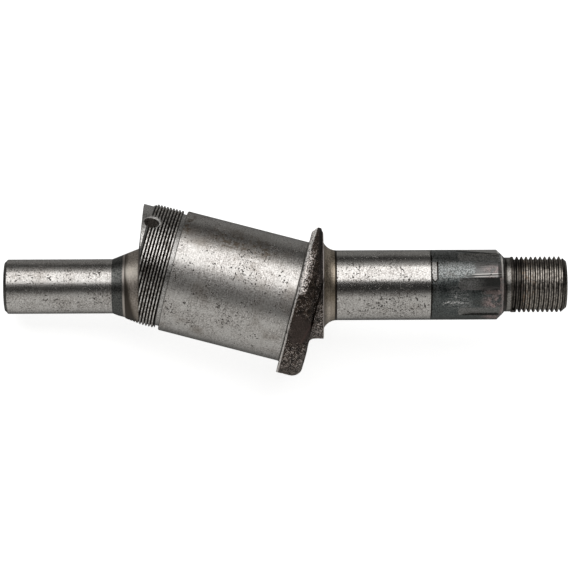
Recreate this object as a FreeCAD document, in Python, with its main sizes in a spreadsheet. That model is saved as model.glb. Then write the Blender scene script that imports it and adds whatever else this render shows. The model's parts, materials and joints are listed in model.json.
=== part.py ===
"""Eccentric shaft, one forging: a straight spindle with an inclined journal and flange across it.

The body's own frame has X along the spindle from its left end, Z up in the plane that holds
both axes, and Y away from the side with the locking hole. Sizes are in millimetres.
"""
import FreeCAD, Part
import math
import os

import Sketcher

DIMENSIONS = {
    # Overall and the two axes
    "overall": 360.5,
    "crossing": 146.1,
    "tilt": 14.7,
    "cutter_clearance": 21.2,
    # Left journal, cone and end face of the head
    "left_radius": 17.5,
    "left_chamfer": 2.0,
    "cone_start": 69.2,
    "cone_end": 86.3,
    "cone_radius": 24.2,
    "face_lean": 5.6,
    # Right journal, drive section and end thread
    "ring_start": 204.7,
    "ring_radius": 9.3,
    "shaft_start": 213.2,
    "shaft_radius": 22.5,
    "drive_chamfer_start": 315.8,
    "drive_chamfer_end": 319.3,
    "drive_chamfer_radius": 19.2,
    "neck_start": 320.9,
    "neck_radius": 17.4,
    "end_thread_start": 324.8,
    "end_thread_radius": 17.9,
    "end_chamfer_length": 3.4,
    "end_chamfer_depth": 2.9,
    # Grooves of the drive section
    "groove_count": 7,
    "groove_width": 7.6,
    "groove_depth": 1.3,
    "groove_start": 301.0,
    "cutter_radius": 45.0,
    "groove_phase": 1.0,
    # Inclined head, measured along its own axis from the crossing
    "relief_start": -69.9,
    "relief_radius": 36.9,
    "head_thread_start": -61.8,
    "head_thread_lead": 2.4,
    "head_thread_radius": 38.8,
    "head_neck_start": -42.0,
    "head_neck_radius": 36.9,
    "journal_start": -39.2,
    "journal_edge": 0.4,
    "journal_radius": 39.4,
    "journal_root": 0.8,
    "flange_face": 41.0,
    "flange_back": 56.7,
    "face_width": 7.0,
    "bevel_length": 3.2,
    "bevel_depth": 4.0,
    # Outline of the raw flange, square to the inclined axis
    "rim_stand": 7.3,
    "rim_offset": 3.5,
    "ridge_stand": 2.1,
    "ridge_height": 8.0,
    "rim_round": 6.5,
    "slope_top": 47.5,
    "slope_foot": -28.0,
    "crown_start": 46.2,
    "crown_drop": 14.5,
    "crown_spread": 168.0,
    # Raw forging
    "raw_allowance": 2.5,
    "raw_head_start": -84.0,
    "raw_cone_start": 58.0,
    "raw_cone_length": 40.0,
    "collar_radius": 34.3,
    "collar_round": 4.0,
    "collar_end": 224.0,
    # Locking hole, square to the inclined axis
    "hole_station": -59.2,
    "hole_height_angle": 45.8,
    "hole_radius": 4.4,
    "hole_floor": 25.0,
    "hole_point": 2.6,
    "hole_mouth": 36.7,
    "hole_mouth_radius": 5.0,
}

# Turns about Z, Y and X, in degrees, that lay the shaft on a flat of the flange's rim and the
# rim of its head, with the side that holds the locking hole uppermost
REST_TURN = (0.0, -6.796, -82.144)


class Size:
    """A number that keeps the sheet expression it comes from."""

    def __init__(self, value, text):
        self.value = value
        self.text = text

    def _join(self, other, sign, value):
        return Size(value, "(%s %s %s)" % (self.text, sign, other.text))

    def __add__(self, other):
        return self._join(other, "+", self.value + other.value)

    def __sub__(self, other):
        return self._join(other, "-", self.value - other.value)


def size(name):
    return Size(DIMENSIONS[name], "dims." + name)


ZERO = Size(0.0, "0")
RIM = size("journal_radius") + size("rim_stand")
RIM_TOP = RIM + size("rim_offset")
RIDGE_REACH = RIM + size("ridge_stand")
RAW_HEAD = size("journal_radius") + size("raw_allowance")
CLEAR = RIDGE_REACH + size("cutter_clearance")


def make_sheet(doc):
    sheet = doc.addObject("Spreadsheet::Sheet", "dims")
    for row, (name, value) in enumerate(DIMENSIONS.items(), start=1):
        sheet.set("A%d" % row, name)
        sheet.set("B%d" % row, str(value))
        sheet.setAlias("B%d" % row, name)
    doc.recompute()
    return sheet


def origin_feature(body, role):
    for feature in body.Origin.OriginFeatures:
        if feature.Role == role:
            return feature
    raise ValueError(role)


def new_sketch(body, name):
    """A sketch in the plane of both axes: x along the spindle, y up, facing the hole's side."""
    sketch = body.newObject("Sketcher::SketchObject", name)
    sketch.AttachmentSupport = [(origin_feature(body, "XZ_Plane"), "")]
    sketch.MapMode = "FlatFace"
    return sketch


def incline(sketch, station=None, turn_axis=None, turn=None):
    """Put the sketch on the inclined axis: x along it, then an optional turn of its own."""
    offset_turn = FreeCAD.Rotation(FreeCAD.Vector(0, 0, 1), -DIMENSIONS["tilt"])
    if turn_axis is not None:
        offset_turn = offset_turn * FreeCAD.Rotation(turn_axis, turn)
    sketch.AttachmentOffset = FreeCAD.Placement(FreeCAD.Vector(), offset_turn)
    along = "0" if station is None else station
    sketch.setExpression(".AttachmentOffset.Base.x", "dims.crossing + %s * cos(dims.tilt * 1deg)" % along)
    sketch.setExpression(".AttachmentOffset.Base.y", "0 - %s * sin(dims.tilt * 1deg)" % along)


def pin_point(sketch, geometry, end, x, y):
    """Tie a point of the sketch to the sheet, or to an axis where its coordinate is zero."""
    for position, datum, kind, axis in ((x, x.value, "DistanceX", -2), (y, y.value, "DistanceY", -1)):
        if position is ZERO:
            sketch.addConstraint(Sketcher.Constraint("PointOnObject", geometry, end, axis))
            continue
        index = sketch.addConstraint(Sketcher.Constraint(kind, -1, 1, geometry, end, datum))
        sketch.setExpression("Constraints[%d]" % index, position.text)


def draw_outline(sketch, points, arcs=None):
    """Closed outline through points; arcs maps a side's number to (centre x, centre y, radius, way)."""
    arcs = arcs or {}
    count = len(points)
    corners = [FreeCAD.Vector(x.value, y.value, 0) for x, y in points]
    starts, ends = [], []
    for number in range(count):
        first, second = corners[number], corners[(number + 1) % count]
        if number not in arcs:
            sketch.addGeometry(Part.LineSegment(first, second))
            starts.append(1)
            ends.append(2)
            continue
        centre_x, centre_y, radius, way = arcs[number]
        centre = FreeCAD.Vector(centre_x.value, centre_y.value, 0)
        low, high = (first, second) if way > 0 else (second, first)
        circle = Part.Circle(centre, FreeCAD.Vector(0, 0, 1), radius.value)
        low_angle = math.atan2(low.y - centre.y, low.x - centre.x)
        high_angle = math.atan2(high.y - centre.y, high.x - centre.x)
        sketch.addGeometry(Part.ArcOfCircle(circle, low_angle, high_angle))
        index = sketch.addConstraint(Sketcher.Constraint("Radius", number, radius.value))
        sketch.setExpression("Constraints[%d]" % index, radius.text)
        starts.append(1 if way > 0 else 2)
        ends.append(2 if way > 0 else 1)
    for number in range(count):
        following = (number + 1) % count
        sketch.addConstraint(
            Sketcher.Constraint("Coincident", number, ends[number], following, starts[following]))
    for number, (x, y) in enumerate(points):
        pin_point(sketch, number, starts[number], x, y)


def turned(body, kind, name, sketch, axis="H_Axis"):
    """A full turn of the sketch about its own axis, added to the body or cut from it."""
    feature = body.newObject("PartDesign::" + kind, name)
    feature.Profile = sketch
    feature.ReferenceAxis = (sketch, [axis])
    feature.Angle = 360.0
    sketch.Visibility = False
    body.Document.recompute()
    return feature


def raw_head(body):
    sketch = new_sketch(body, "raw_head_profile")
    incline(sketch)
    left, right = size("raw_head_start"), size("flange_back")
    draw_outline(sketch, [(left, ZERO), (right, ZERO), (right, RAW_HEAD), (left, RAW_HEAD)])
    return turned(body, "Revolution", "raw_head", sketch)


def raw_flange(body):
    """The flange's forged rim: round below, carried up and outwards above two parting ridges."""
    sketch = new_sketch(body, "flange_outline")
    incline(sketch, "dims.flange_back", FreeCAD.Vector(0, 1, 0), -90)
    radius = RIM.value
    lift = DIMENSIONS["rim_offset"]
    reach = RIDGE_REACH.value
    height = DIMENSIONS["ridge_height"]
    low_angle = math.atan2(height, reach) - math.acos(radius / math.hypot(reach, height))
    high_angle = math.atan2(height - lift, reach) + math.acos(radius / math.hypot(reach, height - lift))
    normal = FreeCAD.Vector(0, 0, 1)
    low_circle = Part.Circle(FreeCAD.Vector(0, 0, 0), normal, radius)
    high_circle = Part.Circle(FreeCAD.Vector(0, lift, 0), normal, radius)
    low_x, low_y = radius * math.cos(low_angle), radius * math.sin(low_angle)
    high_x, high_y = radius * math.cos(high_angle), lift + radius * math.sin(high_angle)
    low_arc = sketch.addGeometry(Part.ArcOfCircle(low_circle, math.pi - low_angle, 2 * math.pi + low_angle))
    high_arc = sketch.addGeometry(Part.ArcOfCircle(high_circle, high_angle, math.pi - high_angle))
    sides = []
    for hand in (1, -1):
        ridge = FreeCAD.Vector(hand * reach, height, 0)
        low_point = FreeCAD.Vector(hand * low_x, low_y, 0)
        high_point = FreeCAD.Vector(hand * high_x, high_y, 0)
        lower = sketch.addGeometry(Part.LineSegment(low_point, ridge))
        upper = sketch.addGeometry(Part.LineSegment(ridge, high_point))
        sides.append((hand, lower, upper))
    sketch.addConstraint(Sketcher.Constraint("Coincident", low_arc, 3, -1, 1))
    sketch.addConstraint(Sketcher.Constraint("PointOnObject", high_arc, 3, -2))
    for kind, value, text in (
        (("DistanceY", -1, 1, high_arc, 3), lift, "dims.rim_offset"),
        (("Radius", low_arc), radius, RIM.text),
        (("Radius", high_arc), radius, RIM.text),
    ):
        index = sketch.addConstraint(Sketcher.Constraint(*kind, value))
        sketch.setExpression("Constraints[%d]" % index, text)
    for hand, lower, upper in sides:
        sketch.addConstraint(Sketcher.Constraint("Coincident", lower, 2, upper, 1))
        low_end = 2 if hand > 0 else 1
        high_end = 1 if hand > 0 else 2
        sketch.addConstraint(Sketcher.Constraint("Tangent", lower, 1, low_arc, low_end))
        sketch.addConstraint(Sketcher.Constraint("Tangent", upper, 2, high_arc, high_end))
        ridge_x = sketch.addConstraint(Sketcher.Constraint("DistanceX", -1, 1, lower, 2, hand * reach))
        ridge_text = RIDGE_REACH.text if hand > 0 else "-" + RIDGE_REACH.text
        sketch.setExpression("Constraints[%d]" % ridge_x, ridge_text)
        ridge_y = sketch.addConstraint(Sketcher.Constraint("DistanceY", -1, 1, lower, 2, height))
        sketch.setExpression("Constraints[%d]" % ridge_y, "dims.ridge_height")
    pad = body.newObject("PartDesign::Pad", "raw_flange")
    pad.Profile = sketch
    pad.setExpression("Length", "dims.flange_back - dims.flange_face + 1")
    sketch.Visibility = False
    body.Document.recompute()
    return pad


def sloping_back(body):
    """The flange's raw back leans: it runs from its full thickness low down to a thin top."""
    sketch = new_sketch(body, "sloping_back_profile")
    incline(sketch)
    back = size("flange_back")
    thin = size("slope_top")
    draw_outline(sketch, [(back, size("slope_foot")), (back, CLEAR), (thin, CLEAR), (thin, RIM_TOP)])
    pocket = body.newObject("PartDesign::Pocket", "sloping_back")
    pocket.Profile = sketch
    pocket.Midplane = True
    pocket.setExpression("Length", "2 * %s" % CLEAR.text)
    sketch.Visibility = False
    body.Document.recompute()
    return pocket


def crown(body):
    """A steep bevel round the flange's back above the two parting ridges."""
    sketch = new_sketch(body, "crown_profile")
    incline(sketch)
    back = size("flange_back")
    draw_outline(sketch, [
        (size("crown_start"), RIM_TOP),
        (back, RIM_TOP - size("crown_drop")),
        (back, CLEAR),
        (size("crown_start"), CLEAR),
    ])
    bevel = turned(body, "Groove", "crown", sketch)
    bevel.Midplane = True
    bevel.setExpression("Angle", "dims.crown_spread")
    body.Document.recompute()
    return bevel


def in_inclined_frame(point):
    """Station along the inclined axis, height above it and distance from it, of a body's point."""
    angle = math.radians(DIMENSIONS["tilt"])
    along = point.x - DIMENSIONS["crossing"]
    station = along * math.cos(angle) - point.z * math.sin(angle)
    height = along * math.sin(angle) + point.z * math.cos(angle)
    return station, height, math.hypot(height, point.y)


def rounded(body, name, base, chosen, radius_name):
    """A rounded edge of the raw forging; chosen tells which edges of the base take it."""
    names = ["Edge%d" % number for number, edge in enumerate(base.Shape.Edges, start=1) if chosen(edge)]
    fillet = body.newObject("PartDesign::Fillet", name)
    fillet.Base = (base, names)
    fillet.setExpression("Radius", "dims." + radius_name)
    body.Document.recompute()
    return fillet


def sampled(edge):
    """The start and the middle of an edge."""
    return [edge.valueAt(edge.FirstParameter), edge.valueAt((edge.FirstParameter + edge.LastParameter) / 2)]


def lower_back_edge(edge):
    """True for the outer edge of the flange's straight back, below the parting ridges."""
    for point in sampled(edge):
        if abs(in_inclined_frame(point)[0] - DIMENSIONS["flange_back"]) > 0.01:
            return False
    _, height, reach = in_inclined_frame(sampled(edge)[1])
    return reach > RAW_HEAD.value + 1 and height < DIMENSIONS["ridge_height"]


def collar_back_edge(edge):
    """True for the edges where the collar meets the flange's back."""
    for point in sampled(edge):
        if abs(math.hypot(point.y, point.z) - DIMENSIONS["collar_radius"]) > 0.05:
            return False
    return point.x < DIMENSIONS["collar_end"] - 1


def raw_spindle(body):
    sketch = new_sketch(body, "raw_spindle_profile")
    left = size("left_radius") + size("raw_allowance")
    right = size("shaft_radius") + size("raw_allowance")
    collar = size("collar_radius")
    draw_outline(sketch, [
        (ZERO, ZERO),
        (size("overall"), ZERO),
        (size("overall"), right),
        (size("collar_end"), right),
        (size("collar_end"), collar),
        (size("raw_cone_start") + size("raw_cone_length"), collar),
        (size("raw_cone_start"), left),
        (ZERO, left),
    ])
    return turned(body, "Revolution", "raw_spindle", sketch)


def left_turning(body):
    """Left journal, cone and the leaning end face of the head, turned about the spindle."""
    sketch = new_sketch(body, "left_turning_profile")
    radius = size("left_radius")
    chamfer = size("left_chamfer")
    draw_outline(sketch, [
        (ZERO, radius - chamfer),
        (chamfer, radius),
        (size("cone_start"), radius),
        (size("cone_end"), size("cone_radius")),
        (size("cone_end") + size("face_lean"), CLEAR),
        (ZERO, CLEAR),
    ])
    return turned(body, "Groove", "left_turning", sketch)


def right_turning(body):
    """Flange side face, fillet ring, right journal, drive section, neck and thread blank."""
    sketch = new_sketch(body, "right_turning_profile")
    shaft = size("shaft_radius")
    ring = size("ring_radius")
    span = DIMENSIONS["shaft_start"] - DIMENSIONS["ring_start"]
    rise = DIMENSIONS["ring_radius"] - math.sqrt(DIMENSIONS["ring_radius"] ** 2 - span ** 2)
    ring_foot = Size(DIMENSIONS["shaft_radius"] + rise,
                     "(dims.shaft_radius + dims.ring_radius - sqrt(dims.ring_radius ^ 2"
                     " - (dims.shaft_start - dims.ring_start) ^ 2))")
    end = size("overall")
    tip = size("end_thread_radius") - size("end_chamfer_depth")
    draw_outline(sketch, [
        (size("ring_start"), ring_foot),
        (size("shaft_start"), shaft),
        (size("drive_chamfer_start"), shaft),
        (size("drive_chamfer_end"), size("drive_chamfer_radius")),
        (size("neck_start"), size("neck_radius")),
        (size("end_thread_start"), size("neck_radius")),
        (size("end_thread_start") + size("journal_edge"), size("end_thread_radius")),
        (end - size("end_chamfer_length"), size("end_thread_radius")),
        (end, tip),
        (end, CLEAR),
        (size("ring_start"), CLEAR),
    ], {0: (size("shaft_start"), shaft + ring, ring, 1)})
    return turned(body, "Groove", "right_turning", sketch)


def head_turning(body):
    """Relief, thread blank, neck, inclined journal and flange face, turned about the inclined axis."""
    sketch = new_sketch(body, "head_turning_profile")
    incline(sketch)
    journal = size("journal_radius")
    edge = size("journal_edge")
    root = size("journal_root")
    thread = size("head_thread_radius")
    neck = size("head_neck_radius")
    face = size("flange_face")
    face_edge = journal + size("face_width")
    bevel_end = face + size("bevel_length")
    draw_outline(sketch, [
        (size("relief_start"), size("relief_radius")),
        (size("head_thread_start"), size("relief_radius")),
        (size("head_thread_start") + size("head_thread_lead"), thread),
        (size("head_neck_start"), thread),
        (size("head_neck_start"), neck),
        (size("journal_start"), neck),
        (size("journal_start"), journal - edge),
        (size("journal_start") + edge, journal),
        (face - root, journal),
        (face, journal + root),
        (face, face_edge),
        (bevel_end, face_edge + size("bevel_depth")),
        (bevel_end, CLEAR),
        (size("relief_start"), CLEAR),
    ], {8: (face - root, journal + root, root, 1)})
    return turned(body, "Groove", "head_turning", sketch)


def drive_grooves(body):
    """Shallow grooves of the drive section, each running out where the disc cutter lifted."""
    sketch = new_sketch(body, "groove_profile")
    turn = FreeCAD.Rotation(FreeCAD.Vector(1, 0, 0), 90 - DIMENSIONS["groove_phase"])
    sketch.AttachmentOffset = FreeCAD.Placement(FreeCAD.Vector(), turn)
    floor = size("shaft_radius") - size("groove_depth")
    start = size("groove_start")
    cutter = size("cutter_radius")
    above = size("shaft_radius") + size("groove_depth")
    reach = math.sqrt(DIMENSIONS["cutter_radius"] ** 2
                      - (DIMENSIONS["cutter_radius"] - 2 * DIMENSIONS["groove_depth"]) ** 2)
    lift = Size(DIMENSIONS["groove_start"] - reach,
                "(dims.groove_start - sqrt(dims.cutter_radius ^ 2"
                " - (dims.cutter_radius - 2 * dims.groove_depth) ^ 2))")
    past = size("end_thread_start")
    draw_outline(sketch, [(lift, above), (start, floor), (past, floor), (past, above)],
                 {0: (start, floor + cutter, cutter, 1)})
    pocket = body.newObject("PartDesign::Pocket", "drive_groove")
    pocket.Profile = sketch
    pocket.Midplane = True
    pocket.setExpression("Length", "dims.groove_width")
    sketch.Visibility = False
    body.Document.recompute()
    pattern = body.newObject("PartDesign::PolarPattern", "drive_grooves")
    pattern.Originals = [pocket]
    pattern.Axis = (origin_feature(body, "X_Axis"), [""])
    pattern.Angle = 360.0
    pattern.setExpression("Occurrences", "dims.groove_count")
    body.Tip = pattern
    body.Document.recompute()
    return pattern


def locking_hole(body):
    """Blind drilled hole with a light countersink, square to the inclined axis."""
    sketch = new_sketch(body, "hole_profile")
    incline(sketch, "dims.hole_station", FreeCAD.Vector(1, 0, 0), 90 - DIMENSIONS["hole_height_angle"])
    radius = size("hole_radius")
    wide = size("hole_mouth_radius")
    mouth = size("hole_mouth")
    floor = size("hole_floor")
    draw_outline(sketch, [
        (ZERO, floor - size("hole_point")),
        (radius, floor),
        (radius, mouth - (wide - radius)),
        (wide, mouth),
        (wide + (RAW_HEAD - mouth), RAW_HEAD),
        (wide + (RAW_HEAD - mouth), CLEAR),
        (ZERO, CLEAR),
    ])
    return turned(body, "Groove", "locking_hole", sketch, "V_Axis")


def rest_placement(shape):
    """Turn the shaft as it lies, then put the middle of its footprint at the origin, on z = 0."""
    turn = FreeCAD.Placement(FreeCAD.Vector(), FreeCAD.Rotation(*REST_TURN))
    turned_shape = shape.copy()
    turned_shape.Placement = turn
    box = turned_shape.optimalBoundingBox(False, False)
    middle = box.Center
    return FreeCAD.Placement(FreeCAD.Vector(-middle.x, -middle.y, -box.ZMin), turn.Rotation)


def check_cut(name, before, after):
    if after >= before - 1:
        raise RuntimeError(name + " cut nothing")


def make_shaft(doc):
    body = doc.addObject("PartDesign::Body", "eccentric_shaft")
    body.Label = "eccentric_shaft"
    raw_head(body)
    flange = raw_flange(body)
    rounded(body, "rim_round", flange, lower_back_edge, "rim_round")
    sloping_back(body)
    crown(body)
    spindle = raw_spindle(body)
    rounded(body, "collar_round", spindle, collar_back_edge, "collar_round")
    for cut in (left_turning, right_turning, head_turning, drive_grooves, locking_hole):
        before = body.Shape.Volume
        cut(body)
        check_cut(cut.__name__, before, body.Shape.Volume)
    body.Placement = rest_placement(body.Shape)
    doc.recompute()
    return body


def check_document(doc, bodies):
    for item in doc.Objects:
        if "Invalid" in item.State or "Error" in item.State:
            raise RuntimeError("%s failed: %s" % (item.Name, item.State))
    for body in bodies:
        if body.Shape.isNull() or not body.Shape.isValid():
            raise RuntimeError(body.Label + " has no valid shape")
        if len(body.Shape.Solids) != 1:
            raise RuntimeError(body.Label + " is not one solid")


def main():
    doc = FreeCAD.newDocument("eccentric_shaft")
    make_sheet(doc)
    bodies = [make_shaft(doc)]
    check_document(doc, bodies)
    os.makedirs("parts", exist_ok=True)
    for body in bodies:
        body.Shape.exportStep("parts/%s.step" % body.Label)


main()
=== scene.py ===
import json
import math

import bmesh
import bpy
from mathutils import Matrix, Vector, noise


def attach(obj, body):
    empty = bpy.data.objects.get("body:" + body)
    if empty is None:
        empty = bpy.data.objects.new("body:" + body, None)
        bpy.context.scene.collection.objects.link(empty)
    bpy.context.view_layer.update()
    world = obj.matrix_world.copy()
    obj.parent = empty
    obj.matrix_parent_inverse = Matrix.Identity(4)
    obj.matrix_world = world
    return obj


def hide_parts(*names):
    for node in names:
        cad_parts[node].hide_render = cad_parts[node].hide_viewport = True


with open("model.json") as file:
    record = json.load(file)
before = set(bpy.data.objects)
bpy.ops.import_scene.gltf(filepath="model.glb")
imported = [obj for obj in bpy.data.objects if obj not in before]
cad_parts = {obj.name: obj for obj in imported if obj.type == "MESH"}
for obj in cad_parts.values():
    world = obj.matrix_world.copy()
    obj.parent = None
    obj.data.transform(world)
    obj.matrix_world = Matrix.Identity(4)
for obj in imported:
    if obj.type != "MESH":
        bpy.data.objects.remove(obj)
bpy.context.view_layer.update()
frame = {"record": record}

MOUNTS = {mount["name"]: mount for mount in frame["record"]["mounts"]}

# Sizes are in millimetres until a mesh is put in the frame.
MM = 0.001

# Facets round a turned form and round the hole, the degrees under which an edge shades smoothly, and the
# metres under which two corners are one
ROUND = 192
HOLE_FACETS = 64
SMOOTH_ANGLE = 28
SAME_PLACE = 5e-8

# How far from its axis a cutting outline reaches, and how far forms and cuts run past their neighbours
CLEAR = 70.0
OVERLAP = 2.0

# The spindle, by station from its left end
OVERALL = 360.5
CROSSING = 146.1
LEFT_RADIUS = 17.5
LEFT_CHAMFER = 2.0
CONE_START = 69.2
CONE_END = 86.3
CONE_RADIUS = 24.2
FACE_LEAN = 5.6
RING_START = 204.7
RING_RADIUS = 9.3
SHAFT_START = 213.2
SHAFT_RADIUS = 22.5
DRIVE_START = 272.9
DRIVE_CHAMFER_START = 315.8
DRIVE_CHAMFER_END = 319.3
DRIVE_CHAMFER_RADIUS = 19.2
NECK_START = 320.9
NECK_RADIUS = 17.4
END_THREAD_START = 324.8
END_THREAD_RADIUS = 17.9
END_CHAMFER = 3.4
END_CHAMFER_DEPTH = 2.9

# The head, by station along the inclined axis from the crossing
RELIEF_START = -69.9
RELIEF_RADIUS = 36.9
HEAD_THREAD_START = -61.8
HEAD_THREAD_LEAD = 2.4
HEAD_THREAD_RADIUS = 38.8
HEAD_NECK_START = -42.0
HEAD_NECK_RADIUS = 36.9
JOURNAL_START = -39.2
JOURNAL_EDGE = 0.4
JOURNAL_RADIUS = 39.4
JOURNAL_ROOT = 0.8
FLANGE_FACE = 41.0
FLANGE_BACK = 56.7
FACE_WIDTH = 7.0
BEVEL_LENGTH = 3.2
BEVEL_DEPTH = 4.0

# The raw forging
RAW_ALLOWANCE = 2.5
RAW_HEAD_START = -84.0
RIM_RADIUS = JOURNAL_RADIUS + 7.3
RIM_OFFSET = 3.5
RIM_TOP = RIM_RADIUS + RIM_OFFSET
RIDGE_REACH = RIM_RADIUS + 2.1
RIDGE_HEIGHT = 8.0
RIM_ROUND = 6.5
SLOPE_TOP = 47.5
SLOPE_FOOT = -28.0
CROWN_START = 46.2
CROWN_DROP = 14.5
RAW_CONE_START = 58.0
RAW_CONE_LENGTH = 40.0
COLLAR_RADIUS = 34.3
COLLAR_ROUND = 4.0
COLLAR_END = 224.0

# The sines of the angles above the axis between which the rim's round back edge turns into the crown's bevel
CROWN_FROM = 0.07
CROWN_FULL = 0.17

# The forging's skin: its depth, its level, the spacing of its corners along the collar, and its grains, each
# with its fineness per millimetre, its share of the depth and its shift
SKIN_DEPTH = 0.22
SKIN_LEVEL = -0.5
SKIN_SPACING = 1.2
SKIN_GRAINS = ((0.11, 0.9, (0, 0, 0)), (0.45, 0.8, (7, 3, 1)), (1.1, 0.5, (0, 0, 0)))

# Locking hole
HOLE_STATION = -59.2
HOLE_ANGLE = math.radians(45.8)
HOLE_RADIUS = 4.4
HOLE_MOUTH_RADIUS = 5.0
HOLE_FLOOR = 25.0
HOLE_POINT = 2.6
HOLE_MOUTH = 36.7

# Drive grooves
GROOVE_COUNT = 7
GROOVE_WIDTH = 7.6
GROOVE_DEPTH = 1.3
GROOVE_START = 301.0
CUTTER_RADIUS = 45.0
GROOVE_PHASE = math.radians(1.0)

# Thread tools: facets to a turn, how far they stand proud of the crests, and the distance under which two of
# their corners are one
THREAD_FACETS = 144
THREAD_PROUD = 0.04
THREAD_SEAM = 1e-5

# Threads: pitch, depth, the groove's share of the pitch at crests and roots, the stations between which the
# tool runs, and the station of one groove at the top
HEAD_PITCH = 2.0
HEAD_THREAD_DEPTH = 1.45
HEAD_MOUTH = 0.70
HEAD_ROOT = 0.06
HEAD_RUN = (HEAD_THREAD_START - 1.0, HEAD_NECK_START + 1.2)
HEAD_GROOVE_AT_TOP = -56.0
END_PITCH = 3.0
END_THREAD_DEPTH = 1.84
END_MOUTH = 0.80
END_ROOT = 0.2
END_RUN = (END_THREAD_START + 1.4, OVERALL + 3.0)
END_GROOVE_AT_TOP = 327.8

FINISHES = (
    "forged_skin", "forged_edge", "left_journal", "right_journal", "inclined_journal", "cone", "turned_face",
    "fillet_ring", "drive_section", "drive_groove", "head_thread", "end_thread", "hole_rim", "hole_wall")
FINISH = {name: number for number, name in enumerate(FINISHES)}


def shaft_frame():
    """The shaft's own frame: x along the spindle, y away from the hole's side, z up the plane."""
    left = MOUNTS["left_journal"]
    along = -Vector(left["axis"])
    head = -Vector(MOUNTS["inclined_journal"]["axis"])
    away = along.cross(head).normalized()
    up = along.cross(away)
    middle = LEFT_CHAMFER + left["dims"]["length_mm"] / 2
    start = Vector(left["pos_m"]) - along * middle * MM
    turn = Matrix((along, away, up)).transposed().to_4x4()
    tilt = along.angle(head)
    return Matrix.Translation(start) @ turn @ Matrix.Scale(MM, 4), tilt


SHAFT, TILT = shaft_frame()
HEAD = Matrix.Translation((CROSSING, 0, 0)) @ Matrix.Rotation(TILT, 4, "Y")


# Node making

class Shade:
    """A node's output that can be used in sums."""

    def __init__(self, tree, socket):
        self.tree = tree
        self.socket = socket

    def sum(self, operation, *values):
        return self.tree.node("ShaderNodeMath", {"operation": operation}, dict(enumerate(values)))

    def __add__(self, other):
        return self.sum("ADD", self, other)

    def __radd__(self, other):
        return self.sum("ADD", other, self)

    def __mul__(self, other):
        return self.sum("MULTIPLY", self, other)

    def __rmul__(self, other):
        return self.sum("MULTIPLY", other, self)

    def __sub__(self, other):
        return self.sum("SUBTRACT", self, other)

    def __rsub__(self, other):
        return self.sum("SUBTRACT", other, self)

    def size(self):
        return self.sum("ABSOLUTE", self)

    def higher(self, other):
        return self.sum("MAXIMUM", self, other)

    def band(self, low, high):
        """Rises from 0 at low to 1 at high, and stays there."""
        return self.tree.node("ShaderNodeMapRange", {"interpolation_type": "SMOOTHSTEP"},
                              {"Value": self, "From Min": low, "From Max": high})

    def below(self, low, high):
        """1 up to low, and 0 from high on."""
        return 1 - self.band(low, high)

    def between(self, low, high, soft):
        """1 from low to high, with soft ends."""
        return self.band(low - soft, low + soft) * self.below(high - soft, high + soft)


class Tree:
    """Node making in a material, the world or a thread tool's path."""

    def __init__(self, tree):
        self.nodes = tree.nodes
        self.links = tree.links
        self.nodes.clear()

    def node(self, kind, settings, values, output=0):
        node = self.nodes.new(kind)
        for name, value in settings.items():
            setattr(node, name, value)
        for name, value in values.items():
            self.feed(node.inputs[name], value)
        return Shade(self, node.outputs[output])

    def feed(self, socket, value):
        if isinstance(value, Shade):
            self.links.new(value.socket, socket)
        else:
            socket.default_value = value

    def parts(self, vector):
        node = self.nodes.new("ShaderNodeSeparateXYZ")
        self.links.new(vector.socket, node.inputs[0])
        return [Shade(self, socket) for socket in node.outputs]

    def vector(self, x, y, z):
        return self.node("ShaderNodeCombineXYZ", {}, {"X": x, "Y": y, "Z": z})

    def grain(self, vector, scale, detail=2.0, roughness=0.5):
        return self.node("ShaderNodeTexNoise", {},
                         {"Vector": vector, "Scale": scale, "Detail": detail, "Roughness": roughness})

    def mix(self, share, first, second):
        return self.node("ShaderNodeMix", {"data_type": "RGBA"}, {0: share, 6: first, 7: second}, 2)


# Meshes

def put_mesh(name, work):
    """A named object from a bmesh, with every finish as a slot, and faces pointing outwards."""
    bmesh.ops.recalc_face_normals(work, faces=work.faces)
    mesh = bpy.data.meshes.new(name)
    work.to_mesh(mesh)
    work.free()
    for finish in FINISHES:
        mesh.materials.append(bpy.data.materials[finish])
    piece = bpy.data.objects.new(name, mesh)
    bpy.context.scene.collection.objects.link(piece)
    return piece


def divided(outline, spacing):
    """The outline with its long sides divided, each part keeping its side's finish."""
    parts = []
    for number, (station, radius, finish) in enumerate(outline):
        after = outline[(number + 1) % len(outline)]
        along, out = after[0] - station, after[1] - radius
        count = max(1, round(math.hypot(along, out) / spacing)) if number + 1 < len(outline) else 1
        for step in range(count):
            share = step / count
            parts.append((station + along * share, radius + out * share, finish))
    return parts


def turned_solid(name, outline, place=Matrix(), steps=ROUND, roughen=None):
    """Turn an outline of (station, radius, finish of the next side) about the x axis of place."""
    work = bmesh.new()
    rings = []
    for station, radius, _ in outline:
        if radius == 0:
            rings.append([work.verts.new(place @ Vector((station, 0, 0)))])
            continue
        ring = []
        for step in range(steps):
            angle = 2 * math.pi * step / steps
            offset = Vector((0, math.cos(angle), math.sin(angle)))
            point = place @ (Vector((station, 0, 0)) + offset * radius)
            if roughen is not None:
                point += roughen(point) * (place.to_3x3() @ offset)
            ring.append(work.verts.new(point))
        rings.append(ring)
    open_ended = len(rings[0]) == 1
    sides = len(outline) - 1 if open_ended else len(outline)
    for number in range(sides):
        ring, after = rings[number], rings[(number + 1) % len(rings)]
        join_rings(work, ring, after, FINISH[outline[number][2]])
    return put_mesh(name, work)


def join_rings(work, ring, after, finish):
    """Faces between two rings of corners, or between a ring and a point."""
    count = max(len(ring), len(after))
    for step in range(count):
        following = (step + 1) % count
        if len(ring) == 1:
            corners = (ring[0], after[step], after[following])
        elif len(after) == 1:
            corners = (ring[step], ring[following], after[0])
        else:
            corners = (ring[step], ring[following], after[following], after[step])
        work.faces.new(corners).material_index = finish


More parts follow.
